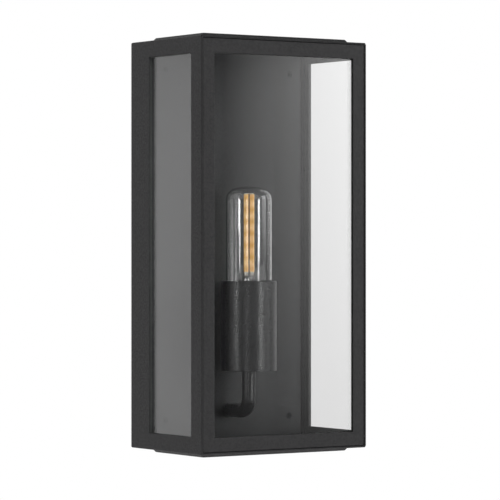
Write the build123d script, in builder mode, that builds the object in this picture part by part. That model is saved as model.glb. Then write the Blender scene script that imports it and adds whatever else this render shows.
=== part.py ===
# Outdoor wall lantern: a glazed sheet-steel cage that slides over a wall unit with an upright lamp.
# Millimetres. +Z is up, the wall is the plane y = 0 and the lantern stands out from it along -Y.
# The origin is on the wall, at the middle of the lantern's width and height.
from build123d import *

import os
from math import asin, atan2, cos, degrees, pi, radians, sin

os.makedirs("parts", exist_ok=True)

# ---------------------------------------------------------------- driving sizes
# Cage: two side panels, two pressed caps and a front frame, welded together
cage_width = 136.0
cage_height = 280.0  # over the rims of the two caps
cage_reach = 90.0  # wall to the front edges of the side panels
cage_wall_gap = 1.0
cage_sheet = 1.2
front_stile = 11.0  # seen width of the front's uprights, panel edge included
front_rail = 11.3
side_front_stile = 12.5
side_rear_stile = 23.5
side_rail = 11.3
face_recess = 0.35  # front frame's face behind the panels' front edges
frame_flange = 6.0  # depth of the return fold round the front frame
frame_bend = 0.9
panel_flange = 10.0  # inward folds at a side panel's top and bottom
flange_rear_margin = 1.5  # folds end this far in front of the side window's rear edge
window_edge = 0.25  # softening of the cut window edges
rim_round_share = 0.85  # rounding of the caps' and back plate's outer rims, of the sheet

# Pressed pads on the two caps
pad_rise = 2.5
pad_side_rim = 6.6
pad_front_rim = 9.0
pad_rear_rim = 14.8
pad_bevel = 2.6
pad_corner = 4.0
pad_crease = 0.8

# Panes
glass = 2.0
gasket = 1.0
pane_lap = 5.0  # pane edge beyond the window edge at the sides
pane_gap = 0.5  # pane edge to the nearest sheet
clip_sheet = 0.8
clip_width = 10.0
clip_reach = 5.2
clip_foot = 5.0

# Back plate on the wall, foam pad behind it
foam = 2.0
plate_sheet = 1.2
plate_side_gap = 0.5
plate_end_gap = 0.8
plate_depth = 10.0
strip_corner_gap = 0.5  # open corners between the back plate's edge strips
foam_margin = 3.0
wall_slot_span_x = 70.0
wall_slot_span_z = 180.0
wall_slot_radius = 2.5
wall_slot_length = 12.0
foam_slot_margin = 1.5

# Gear tray: the panel seen behind the lamp
tray_reach = 19.5  # wall to the tray's face
tray_inset = 6.1  # tray edge from the cage's outer side
tray_end_inset = 2.5
tray_sheet = 1.2
tray_depth = 5.0
tray_bend = 1.1
tray_screw_edge_x = 10.8  # screw centre in from the tray's side
tray_screw_edge_z = 16.5
tray_screw_radius = 1.25
tray_screw_rim = 0.95  # head radius beyond the thread's
tray_screw_length = 7.0
tray_screw_sink = 0.15
cross_recess = 0.6  # width and depth of the cross in the heads
countersink_margin = 0.2
countersink_slope = 45.0  # degrees from the screw's axis
pillar_wall = 1.7
pillar_spigot_step = 0.9  # the spigot is this much slimmer than the pillar
fit_gap = 0.05  # radial gap of pieces that seat in holes

# Screws that hold the cage on the back plate
cage_screw_x = 34.0
cage_screw_radius = 2.0
cage_screw_rim = 1.6
cage_screw_head = 1.9
cage_screw_round_share = 0.45  # rounding of the head's rim, of its height
cage_screw_slot = 1.0
cage_slot_gap = 0.3  # radial room of the cap slots round the screws
slide_gap = 0.1  # clearance of the cage under the screw heads and over the spacers
cage_nut_wall = 1.6
cage_nut = 4.0
cage_nut_gap = 0.2
spacer_wall = 2.2

# Lamp arm
lamp_reach = 45.0  # wall to the lamp's axis
arm_edge_z = 22.4  # arm's centre above the tray's lower edge
arm_rise = 28.4  # cup's underside above the arm's centre
arm_shoulder = 0.75  # tube radius beyond the threaded ends
arm_bore = 3.0
arm_thread = 4.0
arm_bend = 10.0
arm_tail = 9.0  # threaded tail behind the tray's face
arm_end = 1.8  # thread standing out of the nut in the cup
nut = 4.0
nut_wall = 2.5
washer = 1.0
washer_wall = 3.3

# Lampholder cup
cup_wall = 1.2
cup_height = 61.9
cup_edge = 0.4
cup_bulb_gap = 1.9  # radial room between the lamp's glass and the cup
cup_holder_gap = 1.4

# Porcelain holder and its fittings
bracket_sheet = 1.2
bracket_height = 11.5
bracket_width = 10.0
bracket_half = 13.0
bracket_lip = 7.0
holder_wall = 2.4
holder_height = 38.0
holder_floor = 10.0
holder_edge = 0.8
shell_wall = 0.5
shell_gap = 0.1
shell_setback = 1.5
thread_gap = 0.4  # radial room of the lamp's rings in the holder's shell
tongue_rise = 2.1
tongue_sheet = 0.4
tongue_width = 5.0
tongue_foot = 8.0  # half length of the strip on the well's floor
tongue_slope = 1.5  # run of each sloping side
tongue_gap = 0.1
holder_screw_offset = 9.0
holder_screw_radius = 1.5
holder_screw_rim = 1.2
holder_screw_head = 2.0
holder_screw_bite = 4.0
holder_hole = 5.0

# Lamp: tubular filament lamp with an Edison screw base
bulb_radius = 16.1
bulb_wall = 0.8
bulb_height = 68.8  # straight skirt's foot to the crown
bulb_shoulder = 8.5
bulb_crown = 38.0
bulb_taper = 7.0
neck_gap = 0.05  # cement between the neck and the cap
neck_length = 6.0
cap_crest = 13.1
cap_core = 12.5
cap_wall = 0.3
cap_height = 22.5
cap_collar = 3.0  # plain top of the cap
screw_pitch = 3.629  # of the lamp's thread, one turn
insulator_height = 3.1
insulator_foot = 5.0
contact_radius = 4.4
contact_height = 1.2
stem_radius = 4.2
stem_height = 20.0
stem_flare = 1.0
stem_bore = 2.5
filament_count = 4
filament_circle = 3.05
filament_turn = 29.0  # degrees, first filament about the lamp's axis
filament_radius = 0.95
filament_leg = 2.6  # wire between the stem and a filament
filament_length = 53.7
wire_radius = 0.3
driver_width = 16.0
driver_board = 1.2
driver_can = 2.5
driver_can_length = 6.0

# Wiring
lead_radius = 0.9
lead_offset = 1.25
lead_spread = 5.0
lead_hole_gap = 0.2
lead_clearance = 1.2  # leads off the back plate
lead_bend = 2.5
lead_bend_wide = 4.0
lead_bend_tight = 1.5
lead_drop = 0.6  # straight run out of the holder
lead_mouth = 0.5  # straight run into the arm's open end
lead_rise = 10.0
lead_entry = 5.0
lead_grip = 4.0
block_edge_z = 69.5  # terminal block's centre above the tray's lower edge
block_height = 14.0
block_depth = 11.0
block_width = 26.0
block_edge = 0.8
pole_pitch = 8.0
barrel_outer = 2.15
barrel_inner = 1.2
barrel_length = 12.0
pole_screw_radius = 1.3
pole_screw_offset = 3.6
pole_screw_length = 3.4
block_screw_x = 4.0
block_screw_radius = 1.2
block_screw_head = 1.5
screw_slot = 0.6
earth_x = 24.0
earth_edge_z = 41.5
earth_radius = 2.0
earth_ring = 0.8
earth_ring_wall = 1.95
earth_washer = 1.0
earth_nut_flats = 3.5
earth_nut_height = 3.2
earth_stud_length = 7.5
earth_tail = 5.5  # straight lead above its ring
earth_bend = 3.0
cable_entry_z = 45.0
cable_radius = 4.2
grommet_wall = 2.3
grommet_rim = 2.1
grommet_lip = 1.2

# ---------------------------------------------------------------- derived places
half_width = cage_width / 2
half_height = cage_height / 2
inner_x = half_width - cage_sheet
inner_z = half_height - cage_sheet
cage_rear = -cage_wall_gap
window_front = -cage_reach + side_front_stile
window_rear = cage_rear - side_rear_stile
window_top = half_height - side_rail
front_window_x = half_width - front_stile
front_window_z = half_height - front_rail
face_back = cage_reach - face_recess - cage_sheet  # distance of the front frame's rear face
front_glass_front = face_back - gasket
front_glass_back = front_glass_front - glass
side_glass_outer = inner_x - gasket
side_glass_inner = side_glass_outer - glass
flange_front = -(cage_reach - face_recess - frame_flange) + pane_gap
flange_rear = window_rear - flange_rear_margin
plate_back = foam
plate_front = foam + plate_sheet
plate_x = inner_x - plate_side_gap
plate_z = inner_z - plate_end_gap
tray_x = half_width - tray_inset
tray_z = half_height - tray_end_inset
tray_back = tray_reach - tray_sheet
tray_screw_x = tray_x - tray_screw_edge_x
tray_screw_z = tray_z - tray_screw_edge_z
tray_screw_head = tray_screw_radius + tray_screw_rim
pillar_radius = tray_screw_radius + pillar_wall + fit_gap
spigot_radius = pillar_radius - pillar_spigot_step
cage_nut_radius = cage_screw_radius + cage_nut_wall
cage_screw_y = -(plate_front + cage_nut_gap + cage_nut_radius)
cage_slot_radius = cage_screw_radius + cage_slot_gap
cage_screw_head_radius = cage_screw_radius + cage_screw_rim
spacer_radius = cage_screw_radius + spacer_wall
lamp_y = -lamp_reach
arm_radius = arm_thread + arm_shoulder
arm_z = arm_edge_z - tray_z
nut_flats_radius = arm_thread + nut_wall
cup_bottom_z = arm_z + arm_rise
cup_floor_z = cup_bottom_z + cup_wall
holder_bottom_z = cup_floor_z + bracket_height
holder_top_z = holder_bottom_z + holder_height
well_floor_z = holder_bottom_z + holder_floor
shell_inner = cap_crest + thread_gap
well_radius = shell_inner + shell_wall + shell_gap
holder_radius = well_radius + holder_wall
cup_inner = max(holder_radius + cup_holder_gap, bulb_radius + cup_bulb_gap)
cup_radius = cup_inner + cup_wall
arm_top_z = cup_floor_z + bracket_sheet + nut + arm_end
tongue_top_z = well_floor_z + tongue_rise
contact_bottom_z = tongue_top_z + tongue_gap
cap_bottom_z = contact_bottom_z + contact_height + insulator_height
neck_top_z = cap_bottom_z + cap_height
neck_bottom_z = neck_top_z - neck_length
bulb_skirt_z = neck_top_z + bulb_taper
bulb_top_z = bulb_skirt_z + bulb_height
cap_sleeve = cap_core - cap_wall
neck_radius = cap_sleeve - neck_gap
stem_top_z = neck_bottom_z + stem_height
filament_bottom_z = stem_top_z + filament_leg
filament_top_z = filament_bottom_z + filament_length
block_z = block_edge_z - tray_z
block_y = -(plate_front + block_depth / 2)
earth_z = earth_edge_z - tray_z
earth_ring_radius = earth_radius + fit_gap + earth_ring_wall
grommet_seat = cable_radius + grommet_wall
grommet_flange = grommet_seat + grommet_rim


def save(piece, label):
    """Labels a finished piece and writes it as parts/label.step."""
    piece.label = label
    export_step(piece, f"parts/{label}.step")


def ring_profile(half_x, half_z, wall):
    """Adds a rectangular ring of the given outer half sizes to the open sketch."""
    Rectangle(2 * half_x, 2 * half_z)
    Rectangle(2 * (half_x - wall), 2 * (half_z - wall), mode=Mode.SUBTRACT)


# ---------------------------------------------------------------- cage
# Side panel: window, and folds at top and bottom that are welded under the caps
with BuildPart() as right_panel:
    with BuildSketch(Plane.YZ.offset(inner_x)):
        with Locations(((cage_rear - cage_reach) / 2, 0)):
            Rectangle(cage_reach - cage_wall_gap, 2 * inner_z)
        with Locations(((window_front + window_rear) / 2, 0)):
            Rectangle(window_rear - window_front, 2 * window_top, mode=Mode.SUBTRACT)
    extrude(amount=cage_sheet)
    outer_face = right_panel.faces().sort_by(Axis.X)[-1]
    fillet(outer_face.inner_wires()[0].edges(), window_edge)
    front_edge = right_panel.edges().filter_by(Axis.Z).filter_by_position(Axis.Y, -cage_reach, -cage_reach)
    fillet(front_edge.sort_by(Axis.X)[-1], cage_sheet / 3)
    for end in (-1, 1):
        with Locations(
            (inner_x - panel_flange / 2, (flange_front + flange_rear) / 2, end * (inner_z - cage_sheet / 2))
        ):
            Box(panel_flange, flange_rear - flange_front, cage_sheet)
left_panel = mirror(right_panel.part, about=Plane.YZ)
save(right_panel.part, "right_side_panel")
save(left_panel, "left_side_panel")

# Cap: flat rim with a raised pad pressed out of it, and two open slots at the rear for the cage screws
pad_length = cage_reach - pad_front_rim - pad_rear_rim
pad_mid_y = (-(cage_reach - pad_front_rim) - pad_rear_rim) / 2
pad_width = cage_width - 2 * pad_side_rim
pad_taper = degrees(atan2(pad_bevel, pad_rise))
with BuildPart() as top_cap:
    with BuildSketch(Plane.XY.offset(inner_z)):
        with Locations((0, (cage_rear - cage_reach) / 2)):
            Rectangle(cage_width, cage_reach - cage_wall_gap)
    extrude(amount=cage_sheet)
    corners = top_cap.edges().filter_by(Axis.Z).group_by(Axis.Y)[0]
    fillet(corners, cage_sheet * rim_round_share)
    rim_edges = top_cap.faces().sort_by(Axis.Z)[-1].outer_wire().edges()
    fillet(rim_edges, cage_sheet * rim_round_share)
    with BuildSketch(Plane.XY.offset(half_height)):
        with Locations((0, pad_mid_y)):
            RectangleRounded(pad_width, pad_length, pad_corner)
    extrude(amount=pad_rise, taper=pad_taper)
    pad_top = top_cap.faces().sort_by(Axis.Z)[-1]
    fillet(pad_top.outer_wire().edges(), pad_crease)
    with BuildSketch(Plane.XY.offset(inner_z)):
        with Locations((0, pad_mid_y)):
            RectangleRounded(pad_width - cage_sheet, pad_length - cage_sheet, pad_corner)
    extrude(amount=pad_rise, taper=pad_taper, mode=Mode.SUBTRACT)
    with BuildSketch(Plane.XY.offset(inner_z)):
        for side in (-1, 1):
            with Locations((side * cage_screw_x, cage_screw_y)):
                Circle(cage_slot_radius)
            with Locations((side * cage_screw_x, (cage_rear + cage_screw_y) / 2)):
                Rectangle(2 * cage_slot_radius, cage_rear - cage_screw_y)
    extrude(amount=cage_sheet, mode=Mode.SUBTRACT)
bottom_cap = mirror(top_cap.part, about=Plane.XY)
save(top_cap.part, "top_cap")
save(bottom_cap, "bottom_cap")

# Front frame: flat face with a return fold all round, set just inside the panels and caps
with BuildPart() as front_frame:
    with BuildSketch(Plane.XZ.offset(face_back)):
        Rectangle(2 * inner_x, 2 * inner_z)
        Rectangle(2 * front_window_x, 2 * front_window_z, mode=Mode.SUBTRACT)
    extrude(amount=cage_sheet)
    face = front_frame.faces().sort_by(Axis.Y)[0]
    fillet(face.outer_wire().edges(), frame_bend)
    face = front_frame.faces().sort_by(Axis.Y)[0]
    fillet(face.inner_wires()[0].edges(), window_edge)
    with BuildSketch(Plane.XZ.offset(face_back)):
        ring_profile(inner_x, inner_z, cage_sheet)
    extrude(amount=-(frame_flange - cage_sheet))
save(front_frame.part, "front_frame")

# Panes and their gaskets
front_pane_x = inner_x - cage_sheet - pane_gap
front_pane_z = inner_z - cage_sheet - pane_gap
with BuildPart() as front_glass:
    with BuildSketch(Plane.XZ.offset(front_glass_back)):
        Rectangle(2 * front_pane_x, 2 * front_pane_z)
    extrude(amount=glass)
save(front_glass.part, "front_glass")

with BuildPart() as front_gasket:
    with BuildSketch(Plane.XZ.offset(front_glass_front)):
        Rectangle(2 * front_pane_x, 2 * front_pane_z)
        Rectangle(2 * front_window_x, 2 * front_window_z, mode=Mode.SUBTRACT)
    extrude(amount=gasket)
save(front_gasket.part, "front_glass_gasket")

side_pane_front = max(window_front - pane_lap, flange_front)
side_pane_rear = window_rear + pane_lap
side_pane_z = inner_z - cage_sheet - pane_gap
side_pane_mid = (side_pane_front + side_pane_rear) / 2
side_pane_length = side_pane_rear - side_pane_front
with BuildPart() as right_glass:
    with BuildSketch(Plane.YZ.offset(side_glass_inner)):
        with Locations((side_pane_mid, 0)):
            Rectangle(side_pane_length, 2 * side_pane_z)
    extrude(amount=glass)
save(right_glass.part, "right_glass")
save(mirror(right_glass.part, about=Plane.YZ), "left_glass")

with BuildPart() as right_gasket:
    with BuildSketch(Plane.YZ.offset(side_glass_outer)):
        with Locations((side_pane_mid, 0)):
            Rectangle(side_pane_length, 2 * side_pane_z)
        with Locations(((window_front + window_rear) / 2, 0)):
            Rectangle(window_rear - window_front, 2 * window_top, mode=Mode.SUBTRACT)
    extrude(amount=gasket)
save(right_gasket.part, "right_glass_gasket")
save(mirror(right_gasket.part, about=Plane.YZ), "left_glass_gasket")

# Sprung clips that press each pane on its gasket: a foot welded to the fold and a tongue behind the glass
clip_y = (window_front + side_pane_length / 4, window_rear - side_pane_length / 4)
with BuildPart() as right_clips:
    for end in (-1, 1):
        for y in clip_y:
            with Locations(
                (side_glass_inner - clip_sheet / 2, y, end * (inner_z - cage_sheet - clip_reach / 2))
            ):
                Box(clip_sheet, clip_width, clip_reach)
            with Locations(
                (side_glass_inner - clip_foot / 2, y, end * (inner_z - cage_sheet - clip_sheet / 2))
            ):
                Box(clip_foot, clip_width, clip_sheet)
save(right_clips.part, "right_glass_clips")
save(mirror(right_clips.part, about=Plane.YZ), "left_glass_clips")

front_clip_x = front_window_x / 2
with BuildPart() as front_clips:
    for end in (-1, 1):
        for side in (-1, 1):
            with Locations(
                (
                    side * front_clip_x,
                    -(front_glass_back - clip_sheet / 2),
                    end * (inner_z - cage_sheet - clip_reach / 2),
                )
            ):
                Box(clip_width, clip_sheet, clip_reach)
save(front_clips.part, "front_glass_clips")

# ---------------------------------------------------------------- wall unit
# Back plate: flat sheet with slots for the wall screws and a cable entry
with BuildPart() as back_plate:
    with BuildSketch(Plane.XZ.offset(plate_back)):
        Rectangle(2 * plate_x, 2 * plate_z)
        with GridLocations(wall_slot_span_x, wall_slot_span_z, 2, 2):
            SlotOverall(wall_slot_length, 2 * wall_slot_radius, mode=Mode.SUBTRACT)
        with Locations((0, cable_entry_z)):
            Circle(grommet_seat + fit_gap, mode=Mode.SUBTRACT)
        with GridLocations(2 * tray_screw_x, 2 * tray_screw_z, 2, 2):
            Circle(spigot_radius + fit_gap, mode=Mode.SUBTRACT)
        with Locations((-block_screw_x, block_z), (block_screw_x, block_z)):
            Circle(block_screw_radius + fit_gap, mode=Mode.SUBTRACT)
        with Locations((earth_x, earth_z)):
            Circle(earth_radius + fit_gap, mode=Mode.SUBTRACT)
    extrude(amount=plate_sheet)
    rear_rim = back_plate.faces().sort_by(Axis.Y)[-1].outer_wire().edges()
    fillet(rear_rim, plate_sheet * rim_round_share)
save(back_plate.part, "back_plate")

# Four strips welded on edge round the back plate, with open corners; the end ones take the cage screws
side_strip_length = 2 * (plate_z - plate_sheet - strip_corner_gap)
with BuildPart() as edge_strips:
    with BuildSketch(Plane.XZ.offset(plate_front)):
        with GridLocations(2 * plate_x - plate_sheet, 0, 2, 1):
            Rectangle(plate_sheet, side_strip_length)
        with GridLocations(0, 2 * plate_z - plate_sheet, 1, 2):
            Rectangle(2 * plate_x, plate_sheet)
    extrude(amount=plate_depth - plate_sheet)
    with BuildSketch(Plane.XY.offset(-plate_z)):
        with Locations((-cage_screw_x, cage_screw_y), (cage_screw_x, cage_screw_y)):
            Circle(cage_screw_radius + fit_gap)
    extrude(amount=2 * plate_z, mode=Mode.SUBTRACT)
save(edge_strips.part, "plate_edge_strips")

with BuildPart() as foam_pad:
    with BuildSketch(Plane.XZ):
        Rectangle(2 * (plate_x - foam_margin), 2 * (plate_z - foam_margin))
        with GridLocations(wall_slot_span_x, wall_slot_span_z, 2, 2):
            SlotOverall(
                wall_slot_length + 2 * foam_slot_margin,
                2 * (wall_slot_radius + foam_slot_margin),
                mode=Mode.SUBTRACT,
            )
        with Locations((0, cable_entry_z)):
            Circle(grommet_flange + fit_gap, mode=Mode.SUBTRACT)
    extrude(amount=foam)
save(foam_pad.part, "foam_wall_gasket")

# Rubber grommet for the supply cable, seated in the back plate
with BuildPart() as grommet:
    for start, thickness, radius in (
        (plate_back - grommet_lip, grommet_lip, grommet_flange),
        (plate_back, plate_sheet, grommet_seat),
        (plate_front, grommet_lip, grommet_flange),
    ):
        with BuildSketch(Plane.XZ.offset(start)):
            with Locations((0, cable_entry_z)):
                Circle(radius)
        extrude(amount=thickness)
    with BuildSketch(Plane.XZ.offset(plate_back - grommet_lip)):
        with Locations((0, cable_entry_z)):
            Circle(cable_radius)
    extrude(amount=plate_sheet + 2 * grommet_lip, mode=Mode.SUBTRACT)
save(grommet.part, "cable_grommet")

# Four clinched pillars that carry the gear tray
pillar_length = tray_back - plate_front
with BuildPart() as pillars:
    with BuildSketch(Plane.XZ.offset(plate_front)):
        with GridLocations(2 * tray_screw_x, 2 * tray_screw_z, 2, 2):
            Circle(pillar_radius)
    extrude(amount=pillar_length)
    with BuildSketch(Plane.XZ.offset(plate_back)):
        with GridLocations(2 * tray_screw_x, 2 * tray_screw_z, 2, 2):
            Circle(spigot_radius)
    extrude(amount=plate_sheet)
    with BuildSketch(Plane.XZ.offset(tray_back)):
        with GridLocations(2 * tray_screw_x, 2 * tray_screw_z, 2, 2):
            Circle(tray_screw_radius + fit_gap)
    extrude(amount=-(tray_screw_length + 1), mode=Mode.SUBTRACT)
save(pillars.part, "tray_pillars")

# Gear tray behind the lamp
countersink_radius = tray_screw_head + countersink_margin
with BuildPart() as gear_tray:
    with BuildSketch(Plane.XZ.offset(tray_back)):
        Rectangle(2 * tray_x, 2 * tray_z)
    extrude(amount=tray_sheet)
    with BuildSketch(Plane.XZ.offset(tray_back)):
        ring_profile(tray_x, tray_z, tray_sheet)
    extrude(amount=-(tray_depth - tray_sheet))
    front_rim = gear_tray.faces().sort_by(Axis.Y)[0].outer_wire().edges()
    fillet(front_rim, tray_bend)
    with Locations(Plane.XZ.offset(tray_reach)):
        with GridLocations(2 * tray_screw_x, 2 * tray_screw_z, 2, 2):
            CounterSinkHole(
                radius=tray_screw_radius + fit_gap,
                counter_sink_radius=countersink_radius,
                depth=tray_sheet,
                counter_sink_angle=2 * countersink_slope,
            )
        with Locations((0, arm_z)):
            Hole(arm_thread + fit_gap, depth=tray_sheet)
save(gear_tray.part, "gear_tray")

# Countersunk screws of the tray, with a cross recess
screw_face = tray_reach - tray_screw_sink
with BuildPart() as tray_screws:
    with BuildSketch(Plane.XZ.offset(screw_face)):
        with GridLocations(2 * tray_screw_x, 2 * tray_screw_z, 2, 2):
            Circle(tray_screw_head)
    extrude(amount=-(tray_screw_head - tray_screw_radius), taper=countersink_slope)
    with BuildSketch(Plane.XZ.offset(screw_face - cross_recess)):
        with GridLocations(2 * tray_screw_x, 2 * tray_screw_z, 2, 2):
            Circle(tray_screw_radius)
    extrude(amount=-(tray_screw_length - cross_recess))
    with BuildSketch(Plane.XZ.offset(screw_face)):
        with GridLocations(2 * tray_screw_x, 2 * tray_screw_z, 2, 2):
            Rectangle(tray_screw_head, cross_recess)
            Rectangle(cross_recess, tray_screw_head)
    extrude(amount=-cross_recess, mode=Mode.SUBTRACT)
save(tray_screws.part, "tray_screws")

# Cage screws at top and bottom, their clinch nuts and the spacers that the caps slide over
spacer = inner_z - plate_z - slide_gap
with BuildPart() as cage_screws:
    for end in (-1, 1):
        head_z = end * (half_height + slide_gap)
        with BuildSketch(Plane((0, 0, head_z), x_dir=(1, 0, 0), z_dir=(0, 0, end))):
            with Locations((-cage_screw_x, end * cage_screw_y), (cage_screw_x, end * cage_screw_y)):
                Circle(cage_screw_head_radius)
        extrude(amount=cage_screw_head)
        with BuildSketch(Plane((0, 0, head_z), x_dir=(1, 0, 0), z_dir=(0, 0, -end))):
            with Locations((-cage_screw_x, -end * cage_screw_y), (cage_screw_x, -end * cage_screw_y)):
                Circle(cage_screw_radius)
        extrude(amount=half_height + slide_gap - plate_z + plate_sheet + cage_nut)
    head_rims = (
        cage_screws.edges()
        .filter_by(GeomType.CIRCLE)
        .filter_by(lambda e: abs(e.center().Z) > half_height + cage_screw_head)
    )
    fillet(head_rims, cage_screw_head * cage_screw_round_share)
    for end in (-1, 1):
        slot_plane = Plane(
            (0, 0, end * (half_height + slide_gap + cage_screw_head)), x_dir=(1, 0, 0), z_dir=(0, 0, end)
        )
        with BuildSketch(slot_plane):
            with Locations((-cage_screw_x, end * cage_screw_y), (cage_screw_x, end * cage_screw_y)):
                Rectangle(2 * cage_screw_head_radius, cage_screw_slot)
        extrude(amount=-cage_screw_head * 0.5, mode=Mode.SUBTRACT)
save(cage_screws.part, "cage_screws")

with BuildPart() as cage_nuts:
    for end in (-1, 1):
        with BuildSketch(Plane.XY.offset(end * (plate_z - plate_sheet))):
            with Locations((-cage_screw_x, cage_screw_y), (cage_screw_x, cage_screw_y)):
                Circle(cage_nut_radius)
                Circle(cage_screw_radius + fit_gap, mode=Mode.SUBTRACT)
        extrude(amount=-end * cage_nut)
save(cage_nuts.part, "cage_screw_nuts")

with BuildPart() as cage_spacers:
    for end in (-1, 1):
        with BuildSketch(Plane.XY.offset(end * plate_z)):
            with Locations((-cage_screw_x, cage_screw_y), (cage_screw_x, cage_screw_y)):
                Circle(spacer_radius)
                Circle(cage_screw_radius + fit_gap, mode=Mode.SUBTRACT)
        extrude(amount=end * spacer)
save(cage_spacers.part, "cage_screw_spacers")

# ---------------------------------------------------------------- lamp arm
tail_y = -(tray_reach - arm_tail)
with BuildPart() as lamp_arm:
    with BuildLine():
        FilletPolyline(
            (0, -tray_reach, arm_z), (0, lamp_y, arm_z), (0, lamp_y, cup_bottom_z), radius=arm_bend
        )
    with BuildSketch(Plane.XZ.offset(tray_reach)):
        with Locations((0, arm_z)):
            Circle(arm_radius)
    sweep()
    with BuildSketch(Plane.XZ.offset(-tail_y)):
        with Locations((0, arm_z)):
            Circle(arm_thread)
    extrude(amount=arm_tail)
    with BuildSketch(Plane.XY.offset(cup_bottom_z)):
        with Locations((0, lamp_y)):
            Circle(arm_thread)
    extrude(amount=arm_top_z - cup_bottom_z)
    with BuildLine():
        FilletPolyline((0, tail_y, arm_z), (0, lamp_y, arm_z), (0, lamp_y, arm_top_z), radius=arm_bend)
    with BuildSketch(Plane.XZ.offset(-tail_y)):
        with Locations((0, arm_z)):
            Circle(arm_bore)
    sweep(mode=Mode.SUBTRACT)
save(lamp_arm.part, "lamp_arm")

with BuildPart() as arm_washer:
    with BuildSketch(Plane.XZ.offset(tray_back - washer)):
        with Locations((0, arm_z)):
            Circle(arm_thread + washer_wall)
            Circle(arm_thread + fit_gap, mode=Mode.SUBTRACT)
    extrude(amount=washer)
save(arm_washer.part, "arm_lock_washer")

with BuildPart() as arm_nut:
    with BuildSketch(Plane.XZ.offset(tray_back - washer - nut)):
        with Locations((0, arm_z)):
            RegularPolygon(nut_flats_radius, 6, major_radius=False)
            Circle(arm_thread + fit_gap, mode=Mode.SUBTRACT)
    extrude(amount=nut)
save(arm_nut.part, "arm_rear_nut")

# ---------------------------------------------------------------- lampholder
with BuildPart() as cup:
    with BuildSketch(Plane.XY.offset(cup_bottom_z)):
        with Locations((0, lamp_y)):
            Circle(cup_radius)
    extrude(amount=cup_height)
    with BuildSketch(Plane.XY.offset(cup_floor_z)):
        with Locations((0, lamp_y)):
            Circle(cup_inner)
    extrude(amount=cup_height, mode=Mode.SUBTRACT)
    with BuildSketch(Plane.XY.offset(cup_bottom_z)):
        with Locations((0, lamp_y)):
            Circle(arm_thread + fit_gap)
    extrude(amount=cup_wall, mode=Mode.SUBTRACT)
    outer_rims = cup.edges().filter_by(GeomType.CIRCLE).group_by(SortBy.RADIUS)[-1]
    fillet(outer_rims, cup_edge)
save(cup.part, "lampholder_cup")

with BuildPart() as bracket:
    with BuildSketch(Plane.YZ.offset(-bracket_width / 2)):
        with Locations((lamp_y, (cup_floor_z + holder_bottom_z) / 2)):
            Rectangle(2 * bracket_half, holder_bottom_z - cup_floor_z)
            Rectangle(
                2 * (bracket_half - bracket_sheet),
                holder_bottom_z - cup_floor_z - 2 * bracket_sheet,
                mode=Mode.SUBTRACT,
            )
        with Locations((lamp_y, holder_bottom_z - bracket_sheet / 2)):
            Rectangle(2 * (bracket_half - bracket_lip), bracket_sheet, mode=Mode.SUBTRACT)
    extrude(amount=bracket_width)
    with BuildSketch(Plane.XY.offset(cup_floor_z)):
        with Locations((0, lamp_y)):
            Circle(arm_thread + fit_gap)
    extrude(amount=bracket_sheet, mode=Mode.SUBTRACT)
    with BuildSketch(Plane.XY.offset(holder_bottom_z - bracket_sheet)):
        with Locations((0, lamp_y - holder_screw_offset), (0, lamp_y + holder_screw_offset)):
            Circle(holder_screw_radius + fit_gap)
    extrude(amount=bracket_sheet, mode=Mode.SUBTRACT)
save(bracket.part, "holder_bracket")

with BuildPart() as cup_nut:
    with BuildSketch(Plane.XY.offset(cup_floor_z + bracket_sheet)):
        with Locations((0, lamp_y)):
            RegularPolygon(nut_flats_radius, 6, major_radius=False)
            Circle(arm_thread + fit_gap, mode=Mode.SUBTRACT)
    extrude(amount=nut)
save(cup_nut.part, "cup_nut")

with BuildPart() as holder_body:
    with BuildSketch(Plane.XY.offset(holder_bottom_z)):
        with Locations((0, lamp_y)):
            Circle(holder_radius)
    extrude(amount=holder_top_z - holder_bottom_z)
    with BuildSketch(Plane.XY.offset(well_floor_z)):
        with Locations((0, lamp_y)):
            Circle(well_radius)
    extrude(amount=holder_top_z - well_floor_z, mode=Mode.SUBTRACT)
    rims = holder_body.edges().filter_by(GeomType.CIRCLE).group_by(SortBy.RADIUS)[-1]
    fillet(rims, holder_edge)
    with BuildSketch(Plane.XY.offset(holder_bottom_z)):
        with Locations((0, lamp_y - holder_screw_offset), (0, lamp_y + holder_screw_offset)):
            Circle(holder_screw_radius + fit_gap)
        with Locations((-lead_spread, lamp_y), (lead_spread, lamp_y)):
            Circle(lead_radius + lead_hole_gap)
    extrude(amount=holder_hole, mode=Mode.SUBTRACT)
save(holder_body.part, "lampholder_body")

with BuildPart() as holder_screws:
    screw_spots = ((0, lamp_y - holder_screw_offset), (0, lamp_y + holder_screw_offset))
    with BuildSketch(Plane.XY.offset(holder_bottom_z - bracket_sheet - holder_screw_head)):
        with Locations(*screw_spots):
            Circle(holder_screw_radius + holder_screw_rim)
    extrude(amount=holder_screw_head)
    with BuildSketch(Plane.XY.offset(holder_bottom_z - bracket_sheet)):
        with Locations(*screw_spots):
            Circle(holder_screw_radius)
    extrude(amount=bracket_sheet + holder_screw_bite)
save(holder_screws.part, "holder_screws")

with BuildPart() as screw_shell:
    with BuildSketch(Plane.XY.offset(well_floor_z)):
        with Locations((0, lamp_y)):
            Circle(shell_inner + shell_wall)
            Circle(shell_inner, mode=Mode.SUBTRACT)
    extrude(amount=holder_top_z - well_floor_z - shell_setback)
save(screw_shell.part, "holder_screw_shell")

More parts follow.
